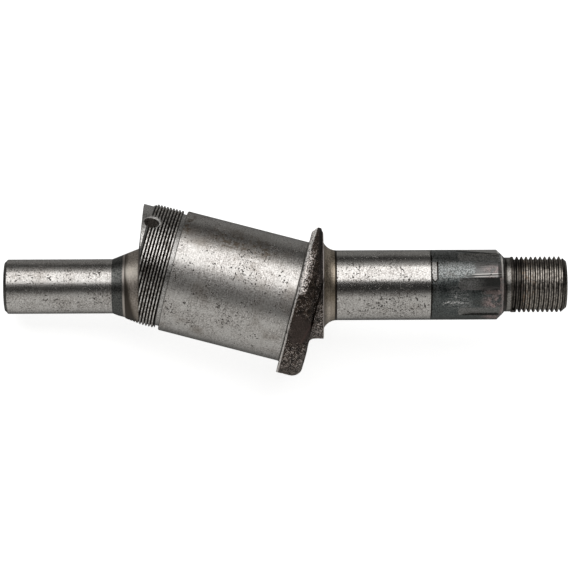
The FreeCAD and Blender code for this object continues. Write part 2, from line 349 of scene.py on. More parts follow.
def plain_mesh(piece):
    """The piece's mesh with its modifiers worked out."""
    scene_state = bpy.context.evaluated_depsgraph_get()
    return bpy.data.meshes.new_from_object(piece.evaluated_get(scene_state))


def carve(body, tool, operation):
    """Join a tool's mesh to the body, or cut it away, and keep the plain result."""
    joint = body.modifiers.new("join", "BOOLEAN")
    joint.operation = operation
    joint.solver = "MANIFOLD"
    joint.object = tool
    result = plain_mesh(body)
    body.modifiers.clear()
    spent = body.data
    body.data = result
    bpy.data.meshes.remove(spent)
    used = tool.data
    bpy.data.objects.remove(tool)
    bpy.data.meshes.remove(used)


# The raw forging

def skin(point):
    """Hollows of the scaled forging skin: how far it stands above or below the plain form."""
    hollows = sum(share * noise.noise(point * fineness + Vector(shift))
                  for fineness, share, shift in SKIN_GRAINS)
    return SKIN_DEPTH * (hollows + SKIN_LEVEL)


def rim_reach(angle):
    """Distance from the inclined axis to the forged rim; it is round below, with a ridge each side."""
    side = abs(math.cos(angle))
    height = math.sin(angle)
    turn = math.atan2(height, side)
    ridge = math.hypot(RIDGE_REACH, RIDGE_HEIGHT)
    ridge_turn = math.atan2(RIDGE_HEIGHT, RIDGE_REACH)
    low_turn = ridge_turn - math.acos(RIM_RADIUS / ridge)
    lifted = RIDGE_HEIGHT - RIM_OFFSET
    high_turn = math.atan2(lifted, RIDGE_REACH) + math.acos(RIM_RADIUS / math.hypot(RIDGE_REACH, lifted))
    upper_line = RIM_RADIUS + RIM_OFFSET * math.sin(high_turn)
    meeting_height = RIM_OFFSET + RIM_RADIUS * math.sin(high_turn)
    meeting = math.atan2(meeting_height, RIM_RADIUS * math.cos(high_turn))
    if turn < low_turn:
        return RIM_RADIUS
    if turn < ridge_turn:
        return RIM_RADIUS / math.cos(turn - low_turn)
    if turn < meeting:
        return upper_line / math.cos(turn - high_turn)
    across = RIM_OFFSET * math.cos(turn)
    return RIM_OFFSET * math.sin(turn) + math.sqrt(RIM_RADIUS ** 2 - across ** 2)


def back_profile(angle):
    """Stations and insets of the flange's leaning back; its edge is round below, bevelled above the ridge."""
    rows, round_rows, row_inset = 14, 9, 1.8
    reach, height = rim_reach(angle), math.sin(angle)
    slope = (FLANGE_BACK - SLOPE_TOP) / (RIM_TOP - SLOPE_FOOT)
    cone = (FLANGE_BACK - CROWN_START) / CROWN_DROP
    crown = smooth_step(height, CROWN_FROM, CROWN_FULL)

    def back(inset):
        return FLANGE_BACK - slope * max((reach - inset) * height - SLOPE_FOOT, 0)

    profile = []
    for row in range(rows + 1):
        turn = math.pi / 2 * min(row, round_rows) / round_rows
        inset = RIM_ROUND * (1 - math.cos(turn)) + row_inset * max(row - round_rows, 0)
        low = (back(inset) - RIM_ROUND * (1 - math.sin(turn)), inset)
        inset = CROWN_DROP * row / rows
        high = (min(CROWN_START + cone * (RIM_TOP - reach + inset), back(inset)), inset)
        profile.append([first + (second - first) * crown for first, second in zip(low, high)])
    return profile


def smooth_step(value, low, high):
    share = min(max((value - low) / (high - low), 0.0), 1.0)
    return share * share * (3 - 2 * share)


def raw_flange():
    """The flange as forged, with its back edge."""
    work = bmesh.new()
    steps = 2 * ROUND
    rim_rows = 12
    start = FLANGE_FACE - OVERLAP
    columns = []
    for step in range(steps):
        angle = 2 * math.pi * step / steps
        profile = back_profile(angle)
        rim = [(start + (profile[0][0] - start) * row / rim_rows, 0.0) for row in range(rim_rows)]
        offset = Vector((0, math.cos(angle), math.sin(angle)))
        column = []
        for station, inset in rim + profile:
            point = HEAD @ (Vector((station, 0, 0)) + offset * (rim_reach(angle) - inset))
            lean = min(inset / RIM_ROUND, 1.0)
            outward = (offset * (1 - lean) + Vector((1, 0, 0)) * lean).normalized()
            column.append(work.verts.new(point + skin(point) * (HEAD.to_3x3() @ outward)))
        columns.append(column)
    loops = [list(loop) for loop in zip(*columns)]
    loops.insert(0, [work.verts.new(HEAD @ Vector((start - 1.0, 0, 0)))])
    loops.append([work.verts.new(HEAD @ Vector((FLANGE_BACK, 0, 0)))])
    for ring, after in zip(loops, loops[1:]):
        join_rings(work, ring, after, FINISH["forged_skin"])
    return put_mesh("raw_flange", work)


def collar_fillet():
    """The hollow corner between the flange's back and the collar, as a ring that fills it."""
    work = bmesh.new()
    normal = (HEAD.to_3x3() @ Vector((1, 0, 0))).normalized()
    centre = HEAD @ Vector((FLANGE_BACK, 0, 0))
    along = Vector((1, 0, 0))
    steps, sunk = 8, 0.6
    sections = []
    for step in range(ROUND):
        angle = 2 * math.pi * step / ROUND
        radial = Vector((0, math.cos(angle), math.sin(angle)))
        foot = radial * COLLAR_RADIUS
        corner = foot + along * ((centre - foot).dot(normal) / normal.x)
        climb = (radial - normal * radial.dot(normal)).normalized()
        opening = along.angle(climb)
        tangent = COLLAR_ROUND / math.tan(opening / 2)
        middle = corner + (along + climb).normalized() * (COLLAR_ROUND / math.sin(opening / 2))
        start = (corner + along * tangent - middle).normalized()
        end = (corner + climb * tangent - middle).normalized()
        section = [corner - radial * OVERLAP - along * OVERLAP]
        section.append(corner + along * tangent - radial * sunk)
        for part in range(steps + 1):
            point = middle + start.slerp(end, part / steps) * COLLAR_ROUND
            section.append(point + (middle - point).normalized() * skin(point))
        section.append(corner + climb * tangent - normal * sunk)
        sections.append([work.verts.new(point) for point in section])
    for number, section in enumerate(sections):
        after = sections[(number + 1) % ROUND]
        join_rings(work, section, after, FINISH["forged_skin"])
    return put_mesh("collar_fillet", work)


def raw_forging():
    rough = "forged_skin"
    head_radius = JOURNAL_RADIUS + RAW_ALLOWANCE
    body = turned_solid("eccentric_shaft_skin", [
        (RAW_HEAD_START, 0, rough),
        (RAW_HEAD_START, head_radius, rough),
        (FLANGE_FACE + OVERLAP, head_radius, rough),
        (FLANGE_FACE + OVERLAP, 0, rough),
    ], HEAD)
    carve(body, raw_flange(), "UNION")
    collar = [(COLLAR_END, COLLAR_RADIUS, rough), (RAW_CONE_START + RAW_CONE_LENGTH, COLLAR_RADIUS, rough)]
    spindle = turned_solid("raw_spindle", [
        (OVERALL, 0, rough),
        (OVERALL, SHAFT_RADIUS + RAW_ALLOWANCE, rough),
        (COLLAR_END, SHAFT_RADIUS + RAW_ALLOWANCE, rough),
        *divided(collar, SKIN_SPACING),
        (RAW_CONE_START, LEFT_RADIUS + RAW_ALLOWANCE, rough),
        (0, LEFT_RADIUS + RAW_ALLOWANCE, rough),
        (0, 0, rough),
    ], roughen=skin)
    carve(body, spindle, "UNION")
    carve(body, collar_fillet(), "UNION")
    return body


# What the lathe, the mill and the drill take away

def left_turning():
    return turned_solid("left_turning", [
        (-OVERLAP, LEFT_RADIUS - LEFT_CHAMFER, "turned_face"),
        (0, LEFT_RADIUS - LEFT_CHAMFER, "turned_face"),
        (LEFT_CHAMFER, LEFT_RADIUS, "left_journal"),
        (CONE_START, LEFT_RADIUS, "cone"),
        (CONE_END, CONE_RADIUS, "turned_face"),
        (CONE_END + FACE_LEAN, CLEAR, "turned_face"),
        (-OVERLAP, CLEAR, "turned_face"),
    ])


def right_turning():
    outline = []
    steps = 12
    span = SHAFT_START - RING_START
    first = math.asin(span / RING_RADIUS)
    for step in range(steps + 1):
        turn = first * (1 - step / steps)
        station = SHAFT_START - RING_RADIUS * math.sin(turn)
        outline.append((station, SHAFT_RADIUS + RING_RADIUS * (1 - math.cos(turn)), "fillet_ring"))
    outline[-1] = (SHAFT_START, SHAFT_RADIUS, "right_journal")
    outline += [
        (DRIVE_START, SHAFT_RADIUS, "drive_section"),
        (DRIVE_CHAMFER_START, SHAFT_RADIUS, "drive_section"),
        (DRIVE_CHAMFER_END, DRIVE_CHAMFER_RADIUS, "drive_section"),
        (NECK_START, NECK_RADIUS, "end_thread"),
        (END_THREAD_START, NECK_RADIUS, "end_thread"),
        (END_THREAD_START + JOURNAL_EDGE, END_THREAD_RADIUS, "end_thread"),
        (OVERALL - END_CHAMFER, END_THREAD_RADIUS, "end_thread"),
        (OVERALL, END_THREAD_RADIUS - END_CHAMFER_DEPTH, "turned_face"),
        (OVERALL + OVERLAP, END_THREAD_RADIUS - END_CHAMFER_DEPTH, "turned_face"),
        (OVERALL + OVERLAP, CLEAR, "turned_face"),
        (RING_START, CLEAR, "turned_face"),
    ]
    return turned_solid("right_turning", outline)


def head_turning():
    face_edge = JOURNAL_RADIUS + FACE_WIDTH
    outline = [
        (RELIEF_START, RELIEF_RADIUS, "head_thread"),
        (HEAD_THREAD_START, RELIEF_RADIUS, "head_thread"),
        (HEAD_THREAD_START + HEAD_THREAD_LEAD, HEAD_THREAD_RADIUS, "head_thread"),
        (HEAD_NECK_START, HEAD_THREAD_RADIUS, "head_thread"),
        (HEAD_NECK_START, HEAD_NECK_RADIUS, "head_thread"),
        (JOURNAL_START, HEAD_NECK_RADIUS, "head_thread"),
        (JOURNAL_START, JOURNAL_RADIUS - JOURNAL_EDGE, "turned_face"),
        (JOURNAL_START + JOURNAL_EDGE, JOURNAL_RADIUS, "inclined_journal"),
    ]
    steps = 4
    for step in range(steps + 1):
        turn = math.pi / 2 * step / steps
        station = FLANGE_FACE - JOURNAL_ROOT * (1 - math.sin(turn))
        outline.append((station, JOURNAL_RADIUS + JOURNAL_ROOT * (1 - math.cos(turn)), "turned_face"))
    outline += [
        (FLANGE_FACE, face_edge, "forged_edge"),
        (FLANGE_FACE + BEVEL_LENGTH, face_edge + BEVEL_DEPTH, "forged_skin"),
        (FLANGE_FACE + BEVEL_LENGTH, CLEAR, "forged_skin"),
        (RELIEF_START, CLEAR, "head_thread"),
    ]
    return turned_solid("head_turning", outline, HEAD, 2 * ROUND)


def groove_cutters():
    """One disc cutter's path for each groove of the drive section."""
    reach = math.sqrt(CUTTER_RADIUS ** 2 - (CUTTER_RADIUS - 2 * GROOVE_DEPTH) ** 2)
    floor = SHAFT_RADIUS - GROOVE_DEPTH
    steps = 8
    side = []
    for step in range(steps + 1):
        turn = math.asin(reach / CUTTER_RADIUS) * (1 - step / steps)
        side.append((GROOVE_START - CUTTER_RADIUS * math.sin(turn),
                     floor + CUTTER_RADIUS * (1 - math.cos(turn))))
    side += [(END_THREAD_START, floor), (END_THREAD_START, SHAFT_RADIUS + GROOVE_DEPTH)]
    work = bmesh.new()
    for number in range(GROOVE_COUNT):
        turn = Matrix.Rotation(2 * math.pi * number / GROOVE_COUNT + math.pi / 2 - GROOVE_PHASE, 4, "X")
        layers = []
        for edge in (-GROOVE_WIDTH / 2, GROOVE_WIDTH / 2):
            layers.append([work.verts.new(turn @ Vector((station, edge, radius)))
                           for station, radius in side])
        join_rings(work, layers[0], layers[1], FINISH["drive_groove"])
        for layer in layers:
            work.faces.new(layer).material_index = FINISH["drive_groove"]
    return put_mesh("groove_cutters", work)


def hole_cutter():
    """The drill, its point and the countersink."""
    lift = Matrix.Rotation(math.pi / 2 - HOLE_ANGLE, 4, "X") @ Matrix.Rotation(-math.pi / 2, 4, "Y")
    place = HEAD @ Matrix.Translation((HOLE_STATION, 0, 0)) @ lift
    wide = HOLE_MOUTH_RADIUS + JOURNAL_RADIUS + RAW_ALLOWANCE - HOLE_MOUTH
    return turned_solid("hole_cutter", [
        (HOLE_FLOOR - HOLE_POINT, 0, "hole_wall"),
        (HOLE_FLOOR, HOLE_RADIUS, "hole_wall"),
        (HOLE_MOUTH - HOLE_MOUTH_RADIUS + HOLE_RADIUS, HOLE_RADIUS, "hole_rim"),
        (HOLE_MOUTH, HOLE_MOUTH_RADIUS, "hole_rim"),
        (JOURNAL_RADIUS + RAW_ALLOWANCE, wide, "turned_face"),
        (CLEAR, wide, "turned_face"),
        (CLEAR, 0, "turned_face"),
    ], place, HOLE_FACETS)


def thread_path():
    """A thread tool's path: a coil whose section is the groove between two crests."""
    group = bpy.data.node_groups.new("thread_path", "GeometryNodeTree")
    for name in ("Radius", "Pitch", "Turns", "Depth", "Mouth", "Root"):
        group.interface.new_socket(name, in_out="INPUT", socket_type="NodeSocketFloat")
    group.interface.new_socket("Geometry", in_out="OUTPUT", socket_type="NodeSocketGeometry")
    path = Tree(group)
    given = path.nodes.new("NodeGroupInput")
    radius, pitch, turns, depth, mouth, root = [Shade(path, socket) for socket in given.outputs[:6]]
    height = depth + THREAD_PROUD
    coil = path.node("GeometryNodeCurveSpiral", {}, {
        "Resolution": THREAD_FACETS, "Rotations": turns, "Start Radius": radius, "End Radius": radius,
        "Height": pitch * turns})
    upright = path.node("GeometryNodeSetCurveNormal", {"mode": "Z_UP"}, {"Curve": coil})
    section = path.node("GeometryNodeCurvePrimitiveQuadrilateral", {"mode": "TRAPEZOID"}, {
        "Offset": 0.0, "Bottom Width": pitch * root, "Top Width": pitch * mouth, "Height": height})
    stand = path.node("GeometryNodeTransform", {}, {
        "Geometry": section, "Translation": path.vector(0.0, THREAD_PROUD - height * 0.5, 0.0)})
    quarter = path.node("GeometryNodeTransform", {}, {"Geometry": stand, "Rotation": (0, 0, math.pi / 2)})
    sweep = path.node("GeometryNodeCurveToMesh", {}, {
        "Curve": upright, "Profile Curve": quarter, "Fill Caps": True})
    path.feed(path.nodes.new("NodeGroupOutput").inputs[0], sweep)
    return group


def thread_cutter(path, radius, pitch, depth, section, run, groove_at_top, finish, place):
    """The whole groove of one right-hand thread, from the first station of its run to the last."""
    start, end = run
    turns = (end - start) / pitch
    holder = bpy.data.objects.new("thread_cutter", bpy.data.meshes.new("thread_cutter"))
    bpy.context.scene.collection.objects.link(holder)
    coil = holder.modifiers.new("thread", "NODES")
    coil.node_group = path
    values = {"Radius": radius, "Pitch": pitch, "Turns": turns, "Depth": depth,
              "Mouth": section[0], "Root": section[1]}
    for socket in path.interface.items_tree:
        if socket.in_out == "INPUT":
            coil[socket.identifier] = values[socket.name]
    mesh = plain_mesh(holder)
    bpy.data.objects.remove(holder)
    start_turn = 2 * math.pi * (start - groove_at_top) / pitch
    along = Matrix(((0, 0, 1), (1, 0, 0), (0, 1, 0))).to_4x4()
    turn = Matrix.Rotation(math.pi / 2 + start_turn, 4, "X")
    mesh.transform(place @ Matrix.Translation((start, 0, 0)) @ turn @ along)
    work = bmesh.new()
    work.from_mesh(mesh)
    bpy.data.meshes.remove(mesh)
    bmesh.ops.remove_doubles(work, verts=work.verts, dist=THREAD_SEAM)
    for face in work.faces:
        face.material_index = FINISH[finish]
    return put_mesh("thread_path", work)


def machined_shaft():
    """The forging after every cut, put in the frame."""
    body = raw_forging()
    for cut in (left_turning, right_turning, head_turning, groove_cutters, hole_cutter):
        carve(body, cut(), "DIFFERENCE")
    path = thread_path()
    carve(body, thread_cutter(
        path, HEAD_THREAD_RADIUS, HEAD_PITCH, HEAD_THREAD_DEPTH, (HEAD_MOUTH, HEAD_ROOT),
        HEAD_RUN, HEAD_GROOVE_AT_TOP, "head_thread", HEAD), "DIFFERENCE")
    carve(body, thread_cutter(
        path, END_THREAD_RADIUS, END_PITCH, END_THREAD_DEPTH, (END_MOUTH, END_ROOT),
        END_RUN, END_GROOVE_AT_TOP, "end_thread", Matrix()), "DIFFERENCE")
    body.data.transform(SHAFT)
    body.data.update()
    return body


def join_seams(piece):
    """Join the corners that the cuts left in one place, and drop the slivers between them."""
    work = bmesh.new()
    work.from_mesh(piece.data)
    bmesh.ops.remove_doubles(work, verts=work.verts, dist=SAME_PLACE)
    bmesh.ops.dissolve_degenerate(work, dist=SAME_PLACE, edges=work.edges)
    work.to_mesh(piece.data)
    work.free()


def smooth_by_angle(piece):
    """Shade smoothly across the edges that hardly turn."""
    work = bmesh.new()
    work.from_mesh(piece.data)
    limit = math.radians(SMOOTH_ANGLE)
    for edge in work.edges:
        edge.smooth = len(edge.link_faces) == 2 and edge.calc_face_angle(0) < limit
    for face in work.faces:
        face.smooth = True
    work.to_mesh(piece.data)
    work.free()


# Finishes

class Finish(Tree):
    """One surface finish of the shaft, in millimetres of the spindle's or the head's frame."""

    def __init__(self, name, frame_name, fineness, roughness=0.65):
        material = bpy.data.materials.new(name)
        material.use_nodes = True
        super().__init__(material.node_tree)
        self.shader = self.nodes.new("ShaderNodeBsdfPrincipled")
        output = self.nodes.new("ShaderNodeOutputMaterial")
        self.links.new(self.shader.outputs[0], output.inputs[0])
        matrix = SHAFT @ HEAD if frame_name == "head" else SHAFT
        start, turn, size = matrix.decompose()
        self.place = self.node("ShaderNodeMapping", {"vector_type": "TEXTURE"}, {
            "Vector": self.node("ShaderNodeTexCoord", {}, {}, "Object"),
            "Location": start, "Rotation": turn.to_euler(), "Scale": size})
        self.along, self.across, self.height = self.parts(self.place)
        self.speckle = self.grain(self.place, fineness, 3.0, roughness)
        self.tone = None

    def radius(self):
        square = self.across * self.across + self.height * self.height
        return self.node("ShaderNodeMath", {"operation": "SQRT"}, {0: square})

    def drawn(self, along, across, height, detail=3.0, roughness=0.5):
        """Grain with its own fineness each way, as a tool or a wheel leaves it."""
        stretched = self.vector(self.along * along, self.across * across, self.height * height)
        return self.grain(stretched, 1.0, detail, roughness)

    def speckled(self, dark, light, spread=0.14):
        """Two tones scattered by the speckle."""
        return self.mix(self.speckle.band(0.5 - spread, 0.5 + spread), dark, light)

    def paint(self, share, tone):
        """Lay another tone over the finish."""
        self.tone = self.mix(share, self.tone, tone)

    def finish(self, roughness, height, depth, metallic=1.0):
        names = {"Base Color": self.tone, "Roughness": roughness, "Metallic": metallic}
        for name, value in names.items():
            self.feed(self.shader.inputs[name], value)
        bump = self.node("ShaderNodeBump", {}, {"Height": height, "Strength": 1.0, "Distance": depth * MM})
        self.feed(self.shader.inputs["Normal"], bump)


def colour(red, green, blue):
    return (red, green, blue, 1.0)


SOOT_AND_SHADE = colour(0.018, 0.015, 0.012)
GRIME = colour(0.03, 0.024, 0.02)
RUST = colour(0.13, 0.085, 0.055)


def ground_steel(name, frame_name, roughness, pitting, staining, stain_place=None, dull=0.0):
    """Used ground steel: speckled, with dark pits in clusters and thin brown stains."""
    steel = Finish(name, frame_name, 1.15, 0.7)
    rings = steel.drawn(1.5, 0.12, 0.12)
    cloud = steel.grain(steel.place, 0.06, 3.0)
    cluster = steel.grain(steel.place, 0.075, 3.0, 0.6).band(0.46, 0.60)
    limit = 0.668 - cluster * pitting
    pits = (steel.grain(steel.place, 0.75, 2.0, 0.6) - limit).band(-0.005, 0.015)
    grain = (steel.speckle * 0.8 + rings * 0.2).band(0.37, 0.63)
    steel.tone = steel.mix(grain, colour(0.325, 0.303, 0.283), colour(0.80, 0.77, 0.74))
    smooth = steel.drawn(0.05, 0.05, 0.16, 2.0).band(0.45, 0.62)
    steel.paint(smooth * 0.45, colour(0.74, 0.72, 0.69))
    stained = cloud.band(0.5, 0.75) * staining
    if stain_place is not None:
        blots = steel.grain(steel.place, 0.28, 4.0, 0.7).band(0.42, 0.6)
        stained = stained.higher(stain_place(steel) * blots)
    steel.paint(stained, colour(0.21, 0.165, 0.125))
    steel.paint(pits * 0.9, colour(0.035, 0.026, 0.02))
    dulled = steel.height.between(-9.0, 6.0, 4.0) * dull
    steel.finish(roughness + cloud * 0.08 + pits * 0.35 + stained * 0.1 + dulled,
                 steel.speckle * 0.6 + rings * 0.3 - pits * 1.2, 0.035, 1 - pits * 0.8)


def head_stains(steel):
    """Stains beside the head's thread and on the upper part of the inclined journal."""
    by_thread = steel.along.between(-41.0, -33.0, 3.0) * steel.height.between(24.0, 40.0, 4.0)
    on_top = steel.along.between(-22.0, 22.0, 6.0) * steel.height.between(22.0, 33.0, 4.0)
    return by_thread.higher(on_top * 0.9)


def forged_skin():
    """Black forging scale, rubbed to metal on its high spots, with painted glints on the rim's lit upper
    part; a smooth brown patch below the ridge.
    """
    scale = Finish("forged_skin", "head", 1.15, 0.75)
    along, height, fine = scale.along, scale.height, scale.speckle
    coarse = scale.grain(scale.place, 0.4, 3.0, 0.6)
    blur = scale.grain(scale.place, 0.16, 3.0, 0.6)

    # Scale, and its bright spots, partly wear and partly painted glints: most on the rim's lit upper part,
    # then on its crown, its foot and the collar
    lit = (1 - along.band(42.0, 48.5) * 0.75) * along.below(47.0, 48.6) * height.between(4.0, 33.0, 5.0)
    lit = lit * (along * 0.98 - height).below(36.5, 39.5)
    crown = height.band(30.0, 40.0) * along.band(44.5, 41.0) * 0.4
    low = (height * -1.0).band(20.0, 34.0) * 0.17
    collar = along.band(52.0, 56.0) * 0.32
    wear_and_glints = 0.11 + lit * (1.25 - along.band(42.5, 47.5) * 0.6) + crown + low + collar
    spots = (fine * 0.8 + coarse * 0.2 - 0.585 + wear_and_glints * 0.105).band(-0.008, 0.018)
    scale.tone = scale.mix(coarse.band(0.35, 0.65), colour(0.014, 0.009, 0.006), colour(0.066, 0.044, 0.030))
    scale.paint(spots, scale.mix(wear_and_glints, colour(0.54, 0.46, 0.42), colour(1.0, 0.93, 0.88)))
    scale.paint(along.below(41.9, 42.5) * fine.band(0.36, 0.46), colour(0.85, 0.80, 0.76))

    # The brown patch on the rim, with a reddish streak at its back
    patch_along = (along - 49.5) * 0.13
    patch_height = (height + 16.5) * 0.105
    reach = patch_along * patch_along + patch_height * patch_height + (blur - 0.5) * 2.4
    patch = reach.below(0.3, 1.4) * scale.across.below(-30.0, -20.0)
    scale.paint(patch * 0.92, scale.mix(fine.band(0.38, 0.62), colour(0.052, 0.038, 0.032),
                                        colour(0.098, 0.072, 0.062)))
    streak = (along - 0.25 * height).between(57.0, 58.2, 0.6)
    scale.paint(patch * streak * 0.4, colour(0.16, 0.09, 0.08))

    # Towards the turned side, by station along the spindle: a strip of painted shade, then a painted
    # highlight along the edge
    station = CROSSING + along * math.cos(TILT) + height * math.sin(TILT)
    scale.paint(station.band(200.5, 202.5) * height.band(2.0, 8.0) * 0.85, colour(0.012, 0.008, 0.007))
    scale.paint(station.band(204.0, 204.3) * 0.85, colour(0.55, 0.50, 0.47))
    scale.finish(0.40 + coarse * 0.2 - spots * 0.08 + patch * 0.1,
                 (coarse * 0.8 + fine * 0.7) * (1 - patch * 0.85), 0.5, 0.55 + spots * 0.45)


def forged_edge():
    """The bevel turned on the flange's front edge."""
    edge = Finish("forged_edge", "head", 0.75, 0.7)
    rings = edge.drawn(1.8, 0.06, 0.06)
    edge.tone = edge.mix(edge.speckle.band(0.42, 0.53), colour(0.12, 0.105, 0.095), colour(1.0, 0.96, 0.92))
    edge.paint(rings.band(0.5, 0.7) * 0.3, colour(0.15, 0.125, 0.11))
    # Painted shade at the bevel's start, by the flange's face
    edge.paint(edge.along.band(41.5, 41.1) * 0.8, SOOT_AND_SHADE)
    edge.finish(0.38 + edge.speckle * 0.15, edge.speckle * 0.8 + rings * 0.3, 0.15, 0.35)


def cone():
    """The cone behind the left journal: a dark band, a bright line, then brown towards the head."""
    steel = Finish("cone", "spindle", 1.1)
    along, height = steel.along, steel.height
    mottle = steel.grain(steel.place, 0.45, 4.0, 0.65)
    rings = steel.drawn(1.4, 0.06, 0.06)
    line = along.between(76.3, 77.6, 0.35)

    dark = steel.speckled(colour(0.07, 0.073, 0.07), colour(0.21, 0.21, 0.20))
    blots = (steel.speckle * 0.5 + mottle * 0.5).band(0.58, 0.64)
    dark = steel.mix(blots * 0.8, dark, SOOT_AND_SHADE)
    # Painted shade on the dark band's lower side
    dark = steel.mix(height.below(-12.0, -5.0) * 0.3, dark, colour(0.05, 0.05, 0.048))

    past_edge = along - (79.2 - height * 0.125 + height * height * 0.0035)
    brown = steel.speckled(colour(0.36, 0.31, 0.265), colour(0.72, 0.65, 0.58))
    brown = steel.mix(past_edge.band(2.6, 0.0) * 0.8, brown, colour(0.07, 0.055, 0.042))
    # A painted highlight on the brown part's upper side, and painted shade towards its bottom
    brown = steel.mix(height.between(4.0, 13.0, 4.5) * 0.6, brown, colour(1.0, 0.93, 0.83))
    brown = steel.mix(height.below(-18.0, -4.0) * 0.55, brown, colour(0.20, 0.17, 0.14))

    steel.tone = steel.mix(along.band(76.6, 77.4), dark, colour(0.085, 0.072, 0.06))
    steel.paint(past_edge.band(-0.8, 0.8), brown)
    steel.paint(line * 0.85, colour(0.62, 0.56, 0.51))
    steel.finish(0.30 + along.band(76.6, 78.4) * 0.12 + mottle * 0.12,
                 steel.speckle * 0.6 + rings * 0.5 - line * 0.2, 0.04)


def turned_face():
    steel = Finish("turned_face", "spindle", 1.1)
    rings = steel.grain(steel.vector(steel.radius() * 2.2, steel.along * 0.2, 0.0), 1.0, 2.0)
    steel.tone = steel.speckled(colour(0.17, 0.16, 0.148), colour(0.38, 0.365, 0.34), 0.16)
    steel.paint(rings.band(0.5, 0.75) * 0.4, colour(0.12, 0.105, 0.09))
    steel.finish(0.30 + steel.speckle * 0.12, steel.speckle * 0.5 + rings * 0.5, 0.04)


def fillet_ring():
    """The turned hollow behind the flange, olive brown, with a dark line where the journal starts."""
    steel = Finish("fillet_ring", "spindle", 1.0)
    along, height = steel.along, steel.height
    rings = steel.drawn(1.3, 0.03, 0.03)
    steel.tone = steel.speckled(colour(0.42, 0.355, 0.275), colour(0.92, 0.80, 0.66))
    steel.paint(rings.band(0.48, 0.7) * 0.55, colour(0.23, 0.18, 0.13))
    # A painted highlight along the ring's edge by the flange
    steel.paint(along.band(205.6, 205.2) * 0.6, colour(0.6, 0.55, 0.5))
    # Painted shade across the middle, painted light on the lower side, and painted shade towards the journal
    steel.paint(height.between(-12.0, 4.0, 4.0) * 0.45, colour(0.22, 0.175, 0.12))
    steel.paint(height.below(-13.0, -7.0) * 0.3, colour(0.72, 0.66, 0.62))
    steel.paint(along.band(208.4, 210.4) * 0.5, colour(0.20, 0.165, 0.12))
    steel.paint(along.band(211.6, 212.1) * 0.95, colour(0.02, 0.015, 0.012))
    steel.finish(0.36 + steel.speckle * 0.1, steel.speckle * 0.5 + rings * 0.6, 0.045)


def drive_land(steel, mottle, near):
    """The brushed land between two grooves, the reddish end, and the painted highlights and shade along the
    groove's edge at the land's foot.
    """
    along, height = steel.along, steel.height
    land = along.between(301.0, 330.0, 1.5) * height.between(5.6, 14.8, 0.5) * near
    brushed = steel.drawn(0.1, 1.0, 2.2, 2.0).band(0.3, 0.7)
    steel.paint(land * 0.82, steel.mix(brushed, colour(0.06, 0.058, 0.055), colour(0.19, 0.184, 0.18)))
    red = along.band(303.0, 312.0) * mottle.band(0.35, 0.6) * height.below(10.0, 14.0) * (1 - land * 0.5)
    steel.paint(red * 0.68, steel.speckled(colour(0.17, 0.12, 0.115), colour(0.66, 0.50, 0.48)))
    pink = along.band(307.0, 308.5) * height.between(-6.2, -4.0, 0.4) * near
    steel.paint(pink * 0.5, colour(0.42, 0.32, 0.30))
    foot = height - (along - 310.0) * 0.03
    shade = foot.between(4.0, 6.6, 0.3) * along.band(292.0, 300.0) * near
    steel.paint(shade * 0.75, colour(0.05, 0.048, 0.045))
    # Painted highlights along the groove's edge
    lines = foot.between(6.5, 7.1, 0.2).higher(foot.between(5.0, 5.5, 0.2))
    steel.paint(lines * along.band(298.0, 303.0) * near * 0.9, colour(0.52, 0.50, 0.48))


def drive_wedge(steel):
    """A painted highlight on the wedge at the top of the section, with a painted shadow line under it."""
    slant = steel.height - 22.0 + (steel.along - 289.7) * 0.086
    start = steel.along.band(288.0, 292.0)
    # Painted highlight on the wedge, and a painted shadow line under it
    steel.paint(slant.band(0.0, 0.4) * start * 0.8, colour(0.66, 0.65, 0.62))
    steel.paint(slant.between(-0.9, -0.1, 0.25) * start * 0.85, SOOT_AND_SHADE)


def drive_start(steel, near):
    """The bright steel left at the section's start, with its pointed patch and the dark line round it."""
    along, height = steel.along, steel.height
    edge = along - 273.2 + (steel.grain(steel.place, 0.6, 2.0) - 0.5) * 2.4
    point = height - 2.4 - (along - 275.6).size() * 0.9
    patch = along.below(276.6, 276.9) * point.band(-0.3, 0.3) * height.below(14.2, 14.8) * near
    bare = patch.higher(edge.below(-0.2, 0.4))
    steel.paint(bare, steel.speckled(colour(0.20, 0.194, 0.185), colour(0.56, 0.545, 0.525), 0.16))
    outline = along.between(276.8, 277.8, 0.2) * height.between(3.6, 14.8, 0.4)
    outline = outline.higher(point.between(-1.0, -0.1, 0.2) * along.between(273.4, 277.8, 0.2)) * near
    line = edge.between(-0.5, 0.7, 0.2) * (0.55 + near * 0.45)
    steel.paint(outline.higher(line), SOOT_AND_SHADE)


def drive_scratches(steel, near):
    """Scratches across the middle of the section: a dab, a wandering line and fine grain."""
    along, height = steel.along, steel.height
    field = along.between(284.0, 298.0, 3.0) * height.between(-15.0, -1.0, 2.5)
    grain = steel.drawn(0.35, 0.6, 1.5, 3.0, 0.7).between(0.53, 0.56, 0.015)
    dab = along.between(288.2, 289.4, 0.4) * height.between(-9.1, -6.4, 0.4)
    wander = (height + 11.6 + (steel.grain(steel.place, 0.3, 3.0) - 0.5) * 6.0).size()
    line = along.between(281.0, 294.2, 1.5) * wander.below(0.3, 0.6)
    scratches = (grain * field).higher(dab.higher(line) * steel.speckle.band(0.42, 0.55)) * near
    steel.paint(scratches * 0.9, colour(0.75, 0.74, 0.73))
    return scratches


